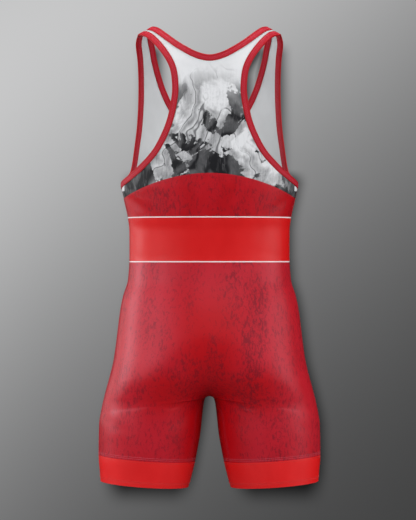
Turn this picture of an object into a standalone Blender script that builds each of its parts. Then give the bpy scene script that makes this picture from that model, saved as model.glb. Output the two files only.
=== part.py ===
"""Wrestling singlet, filled out as if worn, with no wearer in it.

Metres, +Z up. The back faces -Y, the wearer's right is +X, and the origin lies midway between the
two shoulder straps, level with their crests. All the cloth follows one middle surface, the skin.
It is made for the right half as rows of points, mirrored, and cut along the seams into pieces.
Each piece then gets its wall, and tape is folded over the neck and arm edges from the same points.
"""

import bmesh
import bpy
import numpy as np
from math import cos, pi, radians, sin, sqrt
from mathutils import Vector
from mathutils.kdtree import KDTree

# Driving dimensions, in millimetres
MM = 0.001
CLOTH = 1.0
TAPE = 1.0
TAPE_WIDTH = 12.0
TAPE_GAP = 0.3
SEAM_GAP = 0.3
STRIPE = 2.0
SAME_POINT = 0.002

# Shoulders: the strap's middle, the fall of the shoulder line, and how far down the arch reaches
STRAP_X = 117.5
SHOULDER_SLOPE = 0.56
ARCH = 110.0
SQUARENESS = 2.3

# Seams and edges
YOKE_APEX_Z = -262.3
YOKE_SIDE_DROP = 43.2
YOKE_CURVE = 2.0
UNDERARM_Z = -276.5
TOP_STRIPE_Z = -339.7
LOW_STRIPE_Z = -420.0
FORK_START_Z = -560.0
CROTCH_Z = -665.0
FORK_SIDE_Z = -690.0
BAND_SIDE_Z = -773.4
BAND_INNER_Z = -785.4
HEM_SIDE_Z = -821.0
HEM_INNER_Z = -832.2
INSEAM_ANGLE = 151.0
FORK_SOFTNESS = 30.0

# How many rows and columns the skin has
STRAP_ROWS = 12
BACK_NECK_ROWS = 7
YOKE_COLUMNS = 6
WING_COLUMNS = 6
WING_ROWS = 3
CHEST_ROWS = 2
WAIST_ROWS = 3
HIP_ROWS = 5
FORK_ROWS = 8
BAND_ROWS = 2
LEG_ROWS = (1 / 12, 1 / 6, 1 / 3, 1 / 2, 2 / 3, 5 / 6, 1)
LEG_CROWDING = 1.7
HALF_COLUMNS = YOKE_COLUMNS + WING_COLUMNS
BACK_CROWDING = 1.4

# The figure's sections: height, half width, depth of the back, depth of the front
BODY = (
    (80, 160.5, 94, 92),
    (0, 160.5, 97, 95),
    (-100, 160.5, 105, 105),
    (-200, 160.5, 110, 112),
    (-279, 160.5, 107, 110),
    (-306, 156.0, 104, 107),
    (-341, 148.4, 99, 103),
    (-366, 145.6, 94, 99),
    (-411, 145.5, 92, 97),
    (-454, 148.2, 97, 99),
    (-484, 157.2, 104, 101),
    (-513, 162.9, 111, 102),
    (-572, 170.2, 119, 100),
    (-601, 174.6, 118.5, 98),
    (-630, 181.4, 115, 95),
    (-660, 189.6, 107, 92),
    (-690, 196.6, 99.5, 90),
    (-718, 201.0, 97, 88),
    (-777, 202.0, 94, 85),
    (-806, 199.8, 91, 83),
    (-840, 198.0, 88, 82),
)

# The legs below the crotch: height, how far the inside is from the middle, depths of back and front
LEG = (
    (-560, 0.0, 114, 96),
    (-620, 0.0, 112, 94),
    (-665, 0.0, 101.5, 92),
    (-666.8, 5.6, 101, 92),
    (-671, 8.6, 99.5, 91),
    (-684, 11.6, 97, 90),
    (-703, 13.8, 95.5, 88),
    (-733, 17.0, 94, 86),
    (-762, 22.0, 91.5, 84),
    (-791, 27.9, 88, 82),
    (-820, 35.2, 84, 80),
    (-840, 40.2, 82, 79),
)

# Edge lines seen from behind: sideways, height. Each starts on the shoulder line.
BACK_ARM = (
    (131, None), (114, -15), (91, -40), (73, -70), (67.3, -101), (69, -132),
    (78.8, -174), (99.6, -217), (125.4, -246.5), (143.5, -262), (151, -268), (157.5, -273),
)
FRONT_ARM = (
    (131, None), (135.5, -24), (132.5, -55), (131.5, -100), (134, -165),
    (139.5, -214), (144, -246), (148.5, -259.5), (156, -270.5),
)
BACK_NECK = (
    (104.5, None), (92, 3), (78, -8), (60, -22.5), (42, -34.5), (22, -45), (0, -50),
)
FRONT_NECK = (
    (104.5, None), (102.5, -18), (97.5, -46), (90, -75), (80, -104),
    (65, -134), (43, -162), (20, -181), (0, -187),
)

# Where the arm edge turns from the side of the strap rows into the top of the wing columns
BACK_CORNER_Z = -188.0
FRONT_CORNER_Z = -190.0
CENTRE_CORNER_Z = -160.0

# Cloth: colour, roughness
CLOTHS = {
    "printed_cloth": ((0.78, 0.78, 0.79), 0.55),
    "crimson_cloth": ((0.42, 0.014, 0.03), 0.5),
    "white_stripe": ((0.85, 0.83, 0.83), 0.55),
    "red_cloth": ((0.55, 0.012, 0.012), 0.45),
    "red_band": ((0.6, 0.014, 0.014), 0.5),
    "crimson_tape": ((0.4, 0.008, 0.025), 0.6),
}

# Piece: its cloth
PIECES = {
    "back_yoke": "printed_cloth",
    "back_chest": "crimson_cloth",
    "back_stripe_top": "white_stripe",
    "back_waist": "red_cloth",
    "back_stripe_low": "white_stripe",
    "back_seat": "crimson_cloth",
    "front_yoke": "printed_cloth",
    "front_chest": "crimson_cloth",
    "front_stripe_top": "white_stripe",
    "front_waist": "red_cloth",
    "front_stripe_low": "white_stripe",
    "front_lower": "crimson_cloth",
    "leg_band_right": "red_band",
    "leg_band_left": "red_band",
    "neck_binding": "crimson_tape",
    "armhole_binding_right": "crimson_tape",
    "armhole_binding_left": "crimson_tape",
}
PANELS = [name for name, cloth in PIECES.items() if cloth != "crimson_tape"]


def read(table, column, height):
    """One column of a table at any height, as a smooth curve that never overshoots its rows."""
    rows = np.array(table, float)[::-1]
    z, value = rows[:, 0], rows[:, column]
    rise = np.diff(value) / np.diff(z)
    slope = np.zeros_like(value)
    same = rise[1:] * rise[:-1] > 0
    slope[1:-1][same] = 2 * rise[1:][same] * rise[:-1][same] / (rise[1:] + rise[:-1])[same]
    k = np.clip(np.searchsorted(z, height) - 1, 0, len(z) - 2)
    step = z[k + 1] - z[k]
    s = np.clip((height - z[k]) / step, 0, 1)
    start = value[k] * (1 + 2 * s) * (1 - s) ** 2 + slope[k] * step * s * (1 - s) ** 2
    end = value[k + 1] * s**2 * (3 - 2 * s) - slope[k + 1] * step * s**2 * (1 - s)
    return start + end


def shoulder_line(x):
    """Height of the crest at a distance from the middle."""
    return SHOULDER_SLOPE * (STRAP_X - np.abs(x))


def crest_point(x):
    return np.array((x, 0.0, shoulder_line(x)))


def outside(p):
    """Zero on the upper garment's skin and positive outside it, for an array of points."""
    x, y, z = p[:, 0], p[:, 1], p[:, 2]
    depth = np.where(y < 0, read(BODY, 2, z), read(BODY, 3, z))
    across = np.abs(x / read(BODY, 1, z)) ** SQUARENESS
    tube = across + np.abs(y / depth) ** SQUARENESS - 1
    reach = depth * np.clip(1 - across, 1e-6, 1) ** (1 / SQUARENESS)
    below = shoulder_line(x) - z
    arch = (y / reach) ** 2 + (1 - below / ARCH) ** 2 - 1
    return np.where(below < ARCH, arch, tube)


def gradient(p):
    small = 0.01
    steps = small * np.eye(3)
    return np.stack([(outside(p + e) - outside(p - e)) / (2 * small) for e in steps], axis=1)


def snap(p):
    """The points moved onto the skin."""
    p = np.array(p, float)
    for _ in range(12):
        g = gradient(p)
        p -= outside(p)[:, None] * g / (g * g).sum(axis=1)[:, None]
    return p


def unit(v):
    return v / np.linalg.norm(v, axis=-1, keepdims=True)


def edge_curve(line, side, end):
    """A smooth line on the skin through a table's points, from the shoulder to the point end."""
    points = []
    for x, z in line:
        below = 0 if z is None else shoulder_line(x) - z
        turn = np.arccos(1 - min(below, ARCH) / ARCH)
        height = shoulder_line(x) - below
        depth = read(BODY, 2 if side < 0 else 3, height)
        reach = depth * (1 - (x / read(BODY, 1, height)) ** SQUARENESS) ** (1 / SQUARENESS)
        points.append((x, side * reach * sin(turn), height))
    points = np.array(points + ([end] if end is not None else []))
    # The curve runs on past both ends, so that its two halves meet without a corner
    before = points[1] * (1, -1, 1)
    after = points[-2] * ((1, -1, 1) if end is not None else (-1, 1, 1))
    held = np.vstack([before, points, after])
    dense = []
    for a, b, c, d in zip(held, held[1:], held[2:], held[3:]):
        for s in np.linspace(0, 1, 24, endpoint=False):
            bend = (2 * a - 5 * b + 4 * c - d) * s**2 + (3 * b - a - 3 * c + d) * s**3
            dense.append(b + ((c - a) * s + bend) / 2)
    return snap(np.vstack([dense, points[-1]]))


def along(curve, distances):
    """Points of a dense curve at these distances from its start."""
    length = np.concatenate([[0], np.cumsum(np.linalg.norm(np.diff(curve, axis=0), axis=1))])
    return np.stack([np.interp(distances, length, curve[:, i]) for i in range(3)], axis=1)


def length_to(curve, height):
    """How far along a dense curve it first comes down to a height."""
    length = np.concatenate([[0], np.cumsum(np.linalg.norm(np.diff(curve, axis=0), axis=1))])
    return length[np.argmax(curve[:, 2] <= height)] if curve[-1, 2] <= height else length[-1]


def inset(curve, points, distance, sign):
    """Points moved across the skin, away from the edge line that they lie on."""
    nearest = np.array([np.argmin(((curve - p) ** 2).sum(axis=1)) for p in points])
    ahead = curve[np.clip(nearest + 2, 0, len(curve) - 1)]
    behind = curve[np.clip(nearest - 2, 0, len(curve) - 1)]
    inward = sign * np.cross(unit(gradient(points)), unit(ahead - behind))
    return snap(points + distance * inward)


def between(a, b, fractions):
    """Points on the skin along the straight way from a to b."""
    return snap(np.array([a + f * (b - a) for f in fractions]))


def arc_height(x):
    """The curved seam under the yoke."""
    out = np.abs(x) / read(BODY, 1, YOKE_APEX_Z - YOKE_SIDE_DROP)
    return YOKE_APEX_Z - YOKE_SIDE_DROP * out**YOKE_CURVE


def share(column, side):
    """How far round the half section a column is. Those of the back crowd towards its middle."""
    return (column / HALF_COLUMNS) ** (BACK_CROWDING if side < 0 else 1)


def section(column, side, height):
    """A point of the body's section, from the middle (column 0) round to the side seam."""
    angle = radians(90 * (1 - share(column, side)))
    power = 2 / SQUARENESS
    x = read(BODY, 1, height) * cos(angle) ** power if column else 0.0
    depth = read(BODY, 2 if side < 0 else 3, height)
    y = side * depth * sin(angle) ** power if column < HALF_COLUMNS else 0.0
    return np.array((float(x), float(y), float(height)))


def arc_point(column, side):
    height = YOKE_APEX_Z
    for _ in range(8):
        height = float(arc_height(section(column, side, height)[0]))
    return section(column, side, height)


def chest_point(column, side, fraction):
    """A point between the yoke's curved seam and the upper stripe."""
    start = arc_point(column, side)
    if fraction == 0:
        return start
    return section(column, side, start[2] + fraction * (TOP_STRIPE_Z - start[2]))


def signed_power(value, power):
    return abs(value) ** power * (1 if value >= 0 else -1)


def fork_point(column, side, side_z, middle_z, reach, softness):
    """A point of the fork, where a half section turns into a ring round the leg.

    The section is part of an oval, from the side seam round by the angle reach to the middle of
    the body. The oval's centre moves out as reach grows, and the hollow between the two ovals is
    softened.
    """
    part = 1 - share(column, side)
    height = side_z + (middle_z - side_z) * (1 - cos(pi * part)) / 2
    used = (reach - 90) / 90
    power = (2 / SQUARENESS) * (1 - used) + used
    outer = read(BODY, 1, height)
    far = signed_power(cos(radians(reach)), power)
    centre = -outer * far / (1 - far)
    x = centre + (outer - centre) * signed_power(cos(radians(reach * part)), power)
    x = 0.0 if column == 0 else max(x, 0.0)
    level_x = min(centre, sqrt(x * x + softness * softness)) if x < centre else x
    across = min(1, abs((level_x - centre) / (outer - centre)) ** (1 / power))
    body, leg = (read(table, 2 if side < 0 else 3, height) for table in (BODY, LEG))
    depth = (1 - used) * body + used * leg
    y = side * depth * (1 - across**2) ** (power / 2)
    return np.array((float(x), float(y), float(height)))


def leg_point(column, side, side_z, inner_z, inseam):
    """A point of a leg's ring, from the inseam round to the side seam."""
    reach = inseam if side < 0 else 360 - inseam
    angle = radians(reach * (1 - share(column, side)))
    height = side_z + (inner_z - side_z) * (1 - cos(angle)) / 2
    outer, inner = read(BODY, 1, height), read(LEG, 1, inner_z)
    depth = read(LEG, 2 if sin(angle) * side < 0 else 3, height)
    x = (outer + inner) / 2 + (outer - inner) / 2 * cos(angle)
    return np.array((float(x), float(side * depth * sin(angle)), float(height)))


def smoothstep(t):
    return t * t * (3 - 2 * t)


def fork_levels():
    """Rows from the hips down over the fork, as the values that fork_point takes."""
    levels = []
    for i in range(1, FORK_ROWS + 1):
        t = i / FORK_ROWS
        side_z = FORK_START_Z + (FORK_SIDE_Z - FORK_START_Z) * t
        reach = 90 + 90 * smoothstep(t)
        middle_z = FORK_START_Z + (CROTCH_Z - FORK_START_Z) * -cos(radians(reach))
        levels.append((side_z, middle_z, reach, FORK_SOFTNESS * (1 - t)))
    return levels


def leg_levels():
    """Rows of the legs, as the values that leg_point takes. They start close, under the crotch."""
    levels = []
    for f in LEG_ROWS:
        side_z = FORK_SIDE_Z + (BAND_SIDE_Z - FORK_SIDE_Z) * f
        inner_z = CROTCH_Z + (BAND_INNER_Z - CROTCH_Z) * f**LEG_CROWDING
        inseam = 180 - (180 - INSEAM_ANGLE) * smoothstep(min(1, 2 * f))
        levels.append((side_z, inner_z, inseam))
    return levels


def band_levels():
    levels = []
    for f in np.linspace(0, 1, BAND_ROWS + 1)[1:]:
        side_z = BAND_SIDE_Z + (HEM_SIDE_Z - BAND_SIDE_Z) * f
        inner_z = BAND_INNER_Z + (HEM_INNER_Z - BAND_INNER_Z) * f
        levels.append((side_z, inner_z, INSEAM_ANGLE))
    return levels


class Skin:
    """The middle surface of the cloth as triangles, each marked with the piece that it belongs to."""

    def __init__(self):
        self.bm = bmesh.new()

    def triangle(self, corners, piece):
        verts = [self.bm.verts.new(Vector(c)) for c in corners]
        self.bm.faces.new(verts).material_index = PANELS.index(piece)

    def quad(self, a, b, c, d, piece):
        for corners in ((a, b, c), (a, c, d)):
            turned = corners[1:] + corners[:1]
            sides = [np.linalg.norm(np.subtract(p, q)) for p, q in zip(corners, turned)]
            if min(sides) > SAME_POINT:
                self.triangle(corners, piece)

    def grid(self, rows, piece):
        """Rows run downwards, and their points anticlockwise seen from above."""
        for upper, lower in zip(rows, rows[1:]):
            for i in range(len(upper) - 1):
                self.quad(upper[i], lower[i], lower[i + 1], upper[i + 1], piece)

    def finish(self):
        mirror(self.bm)
        for face in self.bm.faces:
            if PANELS[face.material_index] == "leg_band_right" and face.calc_center_median().x < 0:
                face.material_index = PANELS.index("leg_band_left")
        self.bm.normal_update()
        self.bm.verts.ensure_lookup_table()
        self.tree = KDTree(len(self.bm.verts))
        for vert in self.bm.verts:
            self.tree.insert(vert.co, vert.index)
        self.tree.balance()

    def normals(self, points):
        return np.array([self.bm.verts[self.tree.find(Vector(p))[1]].normal for p in points])


def mirror(bm):
    """Adds the left half to a right half, and joins them along the middle."""
    made = bmesh.ops.duplicate(bm, geom=bm.verts[:] + bm.edges[:] + bm.faces[:])["geom"]
    verts = [item for item in made if isinstance(item, bmesh.types.BMVert)]
    faces = [item for item in made if isinstance(item, bmesh.types.BMFace)]
    for vert in verts:
        vert.co.x = -vert.co.x
    bmesh.ops.reverse_faces(bm, faces=faces)
    bmesh.ops.remove_doubles(bm, verts=bm.verts[:], dist=SAME_POINT)
    bm.verts.index_update()


class Yoke:
    """The skin of one yoke with its straps: arm edge and neck edge, and the rows between them."""

    def __init__(self, side):
        self.side = side
        back = side < 0
        self.piece = "back_yoke" if back else "front_yoke"
        underarm = section(HALF_COLUMNS, side, UNDERARM_Z)
        arm = edge_curve(BACK_ARM if back else FRONT_ARM, side, underarm)
        neck = edge_curve(BACK_NECK if back else FRONT_NECK, side, None)
        neck[-1, 0] = 0.0
        fold = CLOTH / 2 + TAPE_GAP + TAPE
        corner = length_to(arm, BACK_CORNER_Z if back else FRONT_CORNER_Z)
        total = length_to(arm, -1e9)
        strap = np.linspace(0, corner, STRAP_ROWS + 1)
        wing = np.linspace(corner, total, WING_COLUMNS + 1)[1:]
        arm_points = along(arm, np.concatenate([strap, wing]))
        neck_rows = BACK_NECK_ROWS if back else STRAP_ROWS
        neck_points = along(neck, np.linspace(0, length_to(neck, -1e9), neck_rows + 1))
        turn = -1 if back else 1
        self.arm_edge = inset(arm, arm_points, fold, turn)
        self.arm_inner = inset(arm, arm_points, TAPE_WIDTH, turn)
        self.neck_edge = inset(neck, neck_points, fold, -turn)
        self.neck_inner = inset(neck, neck_points, TAPE_WIDTH, -turn)
        # Back and front share their points on the crest and in the side seam
        slant = 1 / sqrt(1 + SHOULDER_SLOPE**2)
        for points, distance in ((self.arm_edge, fold), (self.arm_inner, TAPE_WIDTH)):
            points[0] = crest_point(BACK_ARM[0][0] - distance * slant)
            points[-1] = section(HALF_COLUMNS, side, UNDERARM_Z - distance)
        for points, distance in ((self.neck_edge, fold), (self.neck_inner, TAPE_WIDTH)):
            points[0] = crest_point(BACK_NECK[0][0] + distance * slant)
            points[-1, 0] = 0.0
        # The rows of the strap end on the neck tape, and below it on the middle of the back
        inner = self.neck_inner
        if back:
            heights = np.linspace(inner[-1, 2], CENTRE_CORNER_Z, STRAP_ROWS - neck_rows + 1)[1:]
            inner = np.vstack([inner, [section(0, side, z) for z in heights]])
        steps = np.linspace(0, 1, YOKE_COLUMNS + 1)
        self.strap_rows = [
            self.row(inner[i], self.arm_inner[i], steps, i == 0) for i in range(STRAP_ROWS + 1)
        ]
        tops = np.vstack([self.strap_rows[-1], self.arm_inner[STRAP_ROWS + 1 :]])
        drops = np.linspace(0, 1, WING_ROWS + 1)
        columns = []
        for i, top in enumerate(tops):
            column = between(top, arc_point(i, side), drops)
            if i == 0:
                column[:, 0] = 0.0
            if i == HALF_COLUMNS:
                column[:, 1] = 0.0
                column[:, 0] = read(BODY, 1, column[:, 2])
            column[0], column[-1] = top, arc_point(i, side)
            columns.append(column)
        self.wing_rows = np.array(columns).transpose(1, 0, 2)

    def row(self, start, end, steps, on_crest):
        points = between(start, end, steps)
        if on_crest:
            points = np.array([start + s * (end - start) for s in steps])
        if start[0] == 0:
            points[0, 0] = 0.0
        points[0], points[-1] = start, end
        return points

    def add_to(self, skin):
        order = 1 if self.side < 0 else -1
        for rows in (self.strap_rows, self.wing_rows):
            skin.grid([row[::order] for row in rows], self.piece)


def add_strip(skin, edge, inner, back_count):
    """The skin under a tape, between the edge and the tape's inner line, first on the back."""
    for i in range(len(edge) - 1):
        piece = "back_yoke" if i < back_count else "front_yoke"
        skin.quad(edge[i], inner[i], inner[i + 1], edge[i + 1], piece)


def ring(point_of, *where):
    """A row of points from the middle of the back round the side to the middle of the front."""
    back = [point_of(i, -1, *where) for i in range(HALF_COLUMNS + 1)]
    front = [point_of(i, 1, *where) for i in range(HALF_COLUMNS)]
    return np.array(back + front[::-1])


def body_rows():
    """The skin from the yoke's curved seam down to the hems, as (row, name of the stretch under it)."""
    rows = [(ring(chest_point, f), "chest") for f in np.linspace(0, 1, CHEST_ROWS + 1)[:-1]]
    stretches = (
        ("stripe_top", TOP_STRIPE_Z, TOP_STRIPE_Z - STRIPE, 1),
        ("waist", TOP_STRIPE_Z - STRIPE, LOW_STRIPE_Z, WAIST_ROWS),
        ("stripe_low", LOW_STRIPE_Z, LOW_STRIPE_Z - STRIPE, 1),
        ("lower", LOW_STRIPE_Z - STRIPE, FORK_START_Z, HIP_ROWS),
    )
    for stretch, top, bottom, count in stretches:
        for z in np.linspace(top, bottom, count + 1)[:-1]:
            rows.append((ring(section, z), stretch))
    rows.append((ring(section, FORK_START_Z), "lower"))
    rows += [(ring(fork_point, *level), "lower") for level in fork_levels()]
    rows += [(ring(leg_point, *level), "lower") for level in leg_levels()]
    rows[-1] = (rows[-1][0], "band")
    rows += [(ring(leg_point, *level), "band") for level in band_levels()]
    return rows


def piece_at(stretch, back):
    if stretch == "band":
        return "leg_band_right"
    if stretch == "lower":
        return "back_seat" if back else "front_lower"
    return ("back_" if back else "front_") + stretch


def make_object(name, bm):
    bmesh.ops.scale(bm, vec=(MM, MM, MM), verts=bm.verts[:])
    mesh = bpy.data.meshes.new(name)
    bm.to_mesh(mesh)
    bm.free()
    for polygon in mesh.polygons:
        polygon.material_index = 0
    mesh.shade_smooth()
    mesh.set_sharp_from_angle(angle=radians(40))
    obj = bpy.data.objects.new(name, mesh)
    bpy.context.scene.collection.objects.link(obj)
    colour, roughness = CLOTHS[PIECES[name]]
    material = bpy.data.materials.new(name)
    material.use_nodes = True
    shader = material.node_tree.nodes["Principled BSDF"]
    shader.inputs["Base Color"].default_value = (*colour, 1)
    shader.inputs["Roughness"].default_value = roughness
    shader.inputs["Metallic"].default_value = 0
    mesh.materials.append(material)


def seam_pull(vert, faces, normal):
    """How far a point on a piece's outline moves into the piece, so that seams stay a gap apart."""
    pulls = []
    for edge in vert.link_edges:
        inside = [face for face in edge.link_faces if face in faces]
        if len(inside) != 1 or len(edge.link_faces) == 1:
            continue
        inward = normal.cross(edge.verts[1].co - edge.verts[0].co).normalized()
        if inward.dot(inside[0].calc_center_median() - vert.co) < 0:
            inward = -inward
        pulls.append(inward)
    if not pulls:
        return Vector()
    if len(pulls) == 1:
        return pulls[0] * SEAM_GAP / 2
    total = pulls[0] + pulls[1]
    return total * (SEAM_GAP / 2) / max(0.3, 1 + pulls[0].dot(pulls[1]))


def make_panel(skin, name):
    """One cut piece: its part of the skin, given a wall."""
    index = PANELS.index(name)
    faces = {face for face in skin.bm.faces if face.material_index == index}
    verts = {vert for face in faces for vert in face.verts}
    bm = bmesh.new()
    outer, inner = {}, {}
    for vert in sorted(verts, key=lambda v: v.index):
        place = vert.co + seam_pull(vert, faces, vert.normal)
        outer[vert] = bm.verts.new(place + vert.normal * CLOTH / 2)
        inner[vert] = bm.verts.new(place - vert.normal * CLOTH / 2)
    for face in sorted(faces, key=lambda f: f.index):
        bm.faces.new([outer[v] for v in face.verts])
        bm.faces.new([inner[v] for v in reversed(face.verts)])
        for loop in face.loops:
            if sum(other in faces for other in loop.edge.link_faces) == 1:
                a, b = loop.vert, loop.link_loop_next.vert
                bm.faces.new((outer[b], outer[a], inner[a], inner[b]))
    make_object(name, bm)


def tape_section(edge, inner, edge_normal, inner_normal):
    """The folded tape's outline at one place: out over the cloth, round its edge, and back inside."""
    out = unit(edge - inner)
    out = unit(out - edge_normal * out.dot(edge_normal))
    near = CLOTH / 2 + TAPE_GAP
    far = near + TAPE

    def around(distance, degrees):
        turn = radians(degrees)
        return edge + distance * (cos(turn) * edge_normal + sin(turn) * out)

    return [
        inner + far * inner_normal,
        *[around(far, degrees) for degrees in (0, 60, 120, 180)],
        inner - far * inner_normal,
        inner - near * inner_normal,
        *[around(near, degrees) for degrees in (180, 90, 0)],
        inner + near * inner_normal,
    ]


def tape_mesh(skin, edge, inner, closed):
    """Folded tape along an edge. Its faces are split as the cloth under them is."""
    places = zip(edge, inner, skin.normals(edge), skin.normals(inner))
    sections = [tape_section(*place) for place in places]
    for each, point in zip(sections, edge):
        if point[0] == 0:
            for corner in each:
                corner[0] = 0.0
    bm = bmesh.new()
    rings = [[bm.verts.new(Vector(p)) for p in each] for each in sections]
    pairs = list(zip(rings, rings[1:])) + ([(rings[-1], rings[0])] if closed else [])
    away_from_middle = (0, 6)
    for one, two in pairs:
        for s in range(len(one)):
            a, b = one[s], one[(s + 1) % len(one)]
            d, c = two[s], two[(s + 1) % len(one)]
            split = ((a, b, d), (b, c, d)) if s in away_from_middle else ((a, b, c), (a, c, d))
            for corners in split:
                bm.faces.new(corners)
    return bm


def main():
    for obj in list(bpy.data.objects):
        bpy.data.objects.remove(obj)
    back, front = Yoke(-1), Yoke(1)
    skin = Skin()
    back.add_to(skin)
    front.add_to(skin)

    # The arm edge runs from the shoulder down the back, under the arm and up the front
    arm_edge = np.vstack([back.arm_edge, front.arm_edge[-2:0:-1]])
    arm_inner = np.vstack([back.arm_inner, front.arm_inner[-2:0:-1]])
    closed_edge, closed_inner = (np.vstack([line, line[:1]]) for line in (arm_edge, arm_inner))
    add_strip(skin, closed_edge, closed_inner, len(back.arm_edge) - 1)

    # The neck edge runs from the middle of the back up over the shoulder to the middle of the front
    neck_edge = np.vstack([back.neck_edge[::-1], front.neck_edge[1:]])
    neck_inner = np.vstack([back.neck_inner[::-1], front.neck_inner[1:]])
    add_strip(skin, neck_edge, neck_inner, len(back.neck_edge) - 1)

    rows = body_rows()
    for (upper, stretch), (lower, _) in zip(rows, rows[1:]):
        for is_back, part in ((True, slice(0, HALF_COLUMNS + 1)), (False, slice(HALF_COLUMNS, None))):
            skin.grid([upper[part], lower[part]], piece_at(stretch, is_back))
    skin.finish()

    for name in PANELS:
        make_panel(skin, name)
    for name, flip in (("armhole_binding_right", False), ("armhole_binding_left", True)):
        bm = tape_mesh(skin, arm_edge, arm_inner, True)
        if flip:
            bmesh.ops.scale(bm, vec=(-1, 1, 1), verts=bm.verts[:])
        bmesh.ops.recalc_face_normals(bm, faces=bm.faces[:])
        make_object(name, bm)
    neck = tape_mesh(skin, neck_edge, neck_inner, False)
    mirror(neck)
    bmesh.ops.recalc_face_normals(neck, faces=neck.faces[:])
    make_object("neck_binding", neck)


main()
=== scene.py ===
"""Wrestling singlet, filled out as if worn: the look of its cloth, print, tape and stitching.

The back faces -Y and the wearer's right is +X. Lengths are in millimetres up to the last step of
each mesh, which turns them into metres.
"""

from math import cos, pi, radians, sin, sqrt

import bmesh
import bpy
import numpy as np
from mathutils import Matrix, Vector
from mathutils.bvhtree import BVHTree
from mathutils.kdtree import KDTree


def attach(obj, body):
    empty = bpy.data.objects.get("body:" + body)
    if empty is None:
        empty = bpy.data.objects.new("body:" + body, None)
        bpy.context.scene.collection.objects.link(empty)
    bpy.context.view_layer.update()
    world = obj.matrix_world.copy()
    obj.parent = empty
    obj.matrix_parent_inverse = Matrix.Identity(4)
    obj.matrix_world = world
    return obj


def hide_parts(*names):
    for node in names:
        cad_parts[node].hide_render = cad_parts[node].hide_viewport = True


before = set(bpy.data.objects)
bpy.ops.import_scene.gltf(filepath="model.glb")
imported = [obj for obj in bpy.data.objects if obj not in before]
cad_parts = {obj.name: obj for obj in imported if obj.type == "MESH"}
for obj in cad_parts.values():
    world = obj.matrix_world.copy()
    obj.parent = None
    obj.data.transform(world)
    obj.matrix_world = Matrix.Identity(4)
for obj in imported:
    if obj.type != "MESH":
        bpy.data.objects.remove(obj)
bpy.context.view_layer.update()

# The form that the cloth is stretched over
# The knit has no shape of its own: a general figure's sections hold it, as wide as the photo shows
# and as deep as chest, waist and hip girths make them. Each row: height, half width, back, front.
MM = 0.001
BODY = (
    (80, 160.5, 94, 92),
    (0, 160.5, 97, 95),
    (-100, 160.5, 105, 105),
    (-200, 160.5, 110, 112),
    (-279, 160.5, 107, 110),
    (-306, 156.0, 104, 107),
    (-341, 148.4, 99, 103),
    (-366, 145.6, 94, 99),
    (-411, 145.5, 92, 97),
    (-454, 148.2, 97, 99),
    (-484, 157.2, 104, 101),
    (-513, 162.9, 111, 102),
    (-572, 170.2, 119, 100),
    (-601, 174.6, 118.5, 98),
    (-630, 181.4, 115, 95),
    (-660, 189.6, 107, 92),
    (-690, 196.6, 99.5, 90),
    (-718, 201.0, 97, 88),
    (-777, 202.0, 94, 85),
    (-806, 199.8, 91, 83),
    (-840, 198.0, 88, 82),
)
# Legs below the crotch: height, how far the inside is from the middle, back, front
LEG = (
    (-560, 0.0, 114, 96),
    (-620, 0.0, 112, 94),
    (-665, 0.0, 101.5, 92),
    (-666.8, 5.6, 101, 92),
    (-671, 8.6, 99.5, 91),
    (-684, 11.6, 97, 90),
    (-703, 13.8, 95.5, 88),
    (-733, 17.0, 94, 86),
    (-762, 22.0, 91.5, 84),
    (-791, 27.9, 88, 82),
    (-820, 35.2, 84, 80),
    (-840, 40.2, 82, 79),
)
SQUARENESS = 2.3
STRAP_X = 117.5
SHOULDER_SLOPE = 0.56
ARCH = 110.0
HALF_COLUMNS = 64
BACK_CROWDING = 1.4


def read(table, column, height):
    """One column of a table at any height, as a smooth curve that never overshoots its rows."""
    rows = np.array(table, float)[::-1]
    z, value = rows[:, 0], rows[:, column]
    rise = np.diff(value) / np.diff(z)
    slope = np.zeros_like(value)
    same = rise[1:] * rise[:-1] > 0
    slope[1:-1][same] = 2 * rise[1:][same] * rise[:-1][same] / (rise[1:] + rise[:-1])[same]
    k = np.clip(np.searchsorted(z, height) - 1, 0, len(z) - 2)
    step = z[k + 1] - z[k]
    s = np.clip((height - z[k]) / step, 0, 1)
    start = value[k] * (1 + 2 * s) * (1 - s) ** 2 + slope[k] * step * s * (1 - s) ** 2
    end = value[k + 1] * s**2 * (3 - 2 * s) - slope[k + 1] * step * s**2 * (1 - s)
    return start + end


def depth_at(table, side, height):
    return read(table, 2 if side < 0 else 3, height)


def shoulder_line(x):
    """Height of the crest at a distance from the middle."""
    return SHOULDER_SLOPE * (STRAP_X - np.abs(x))


def outside(p):
    """Zero on the upper garment's skin and positive outside it."""
    x, y, z = p[:, 0], p[:, 1], p[:, 2]
    depth = np.where(y < 0, read(BODY, 2, z), read(BODY, 3, z))
    across = np.abs(x / read(BODY, 1, z)) ** SQUARENESS
    tube = across + np.abs(y / depth) ** SQUARENESS - 1
    reach = depth * np.clip(1 - across, 1e-6, 1) ** (1 / SQUARENESS)
    below = shoulder_line(x) - z
    arch = (y / reach) ** 2 + (1 - below / ARCH) ** 2 - 1
    return np.where(below < ARCH, arch, tube)


def gradient(p):
    small = 0.01
    steps = small * np.eye(3)
    return np.stack([(outside(p + e) - outside(p - e)) / (2 * small) for e in steps], axis=1)


def snap(p):
    """The points moved onto the skin."""
    p = np.array(p, float)
    for _ in range(12):
        g = gradient(p)
        p -= outside(p)[:, None] * g / (g * g).sum(axis=1)[:, None]
    return p


def unit(v):
    return v / np.linalg.norm(v, axis=-1, keepdims=True)


def share(fraction, side):
    """How far round the half section a column is. Those of the back crowd towards its middle."""
    return fraction ** (BACK_CROWDING if side < 0 else 1)


FRACTIONS = np.arange(HALF_COLUMNS + 1) / HALF_COLUMNS


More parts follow.
